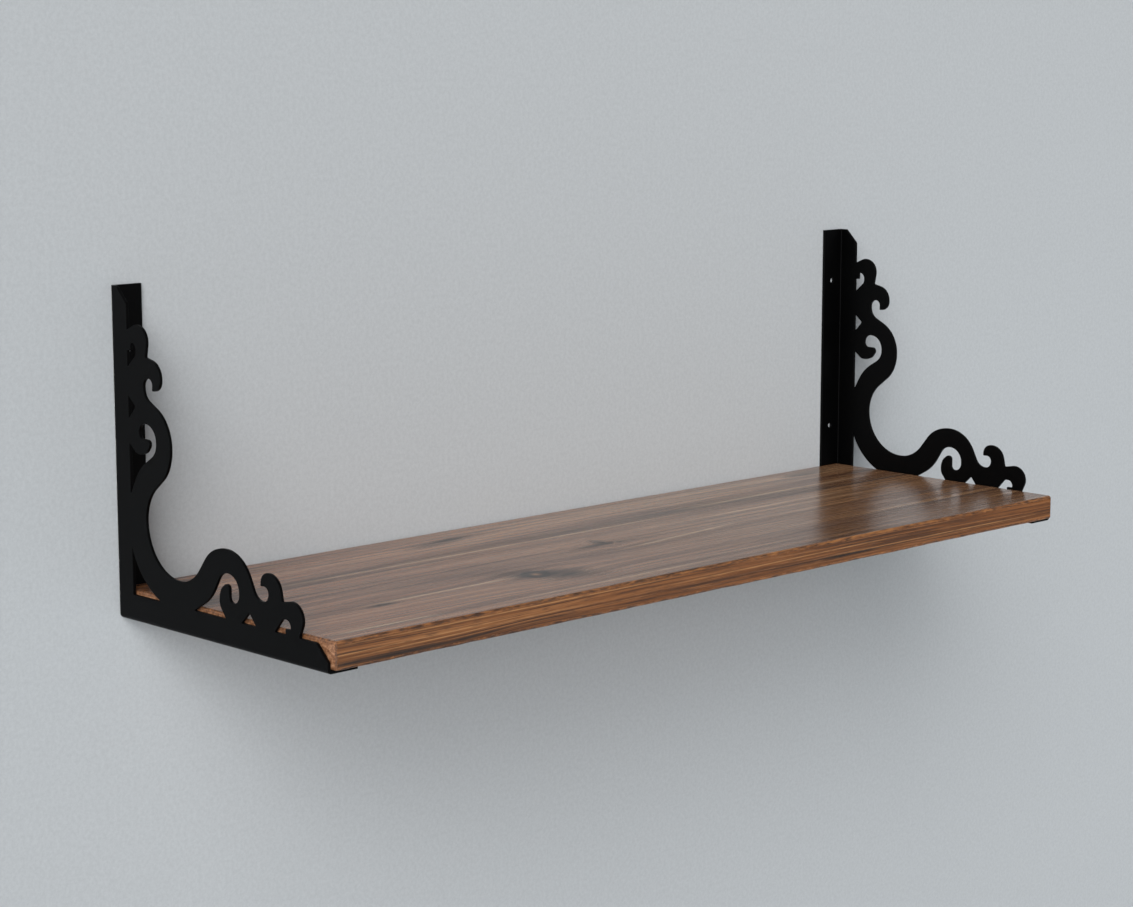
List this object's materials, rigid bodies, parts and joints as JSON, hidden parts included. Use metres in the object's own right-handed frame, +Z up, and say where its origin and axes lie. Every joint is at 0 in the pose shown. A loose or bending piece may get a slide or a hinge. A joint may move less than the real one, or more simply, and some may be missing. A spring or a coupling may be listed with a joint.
{
  "type": "wall shelf with brackets",
  "caption": "Wall shelf: a solid walnut board between two folded black steel brackets with a scroll cut in each web.",
  "frame": {"origin": "on the wall plane, in the middle of the four wall screw holes", "axes": "+X along the wall to the right as seen from the room, +Y into the wall, +Z up; the front faces -Y"},
  "size_m": [1, 0.305, 0.3026],
  "materials": {
    "walnut": "oiled satin walnut with streaky grain",
    "bracket_steel": "fine matte black powder coat",
    "screw_steel": "black oxide"
  },
  "bodies": {
    "root": {"shelf_board": "walnut", "left_bracket": "bracket_steel", "right_bracket": "bracket_steel", "left_board_screws": "screw_steel", "right_board_screws": "screw_steel"}
  },
  "joints": []
}
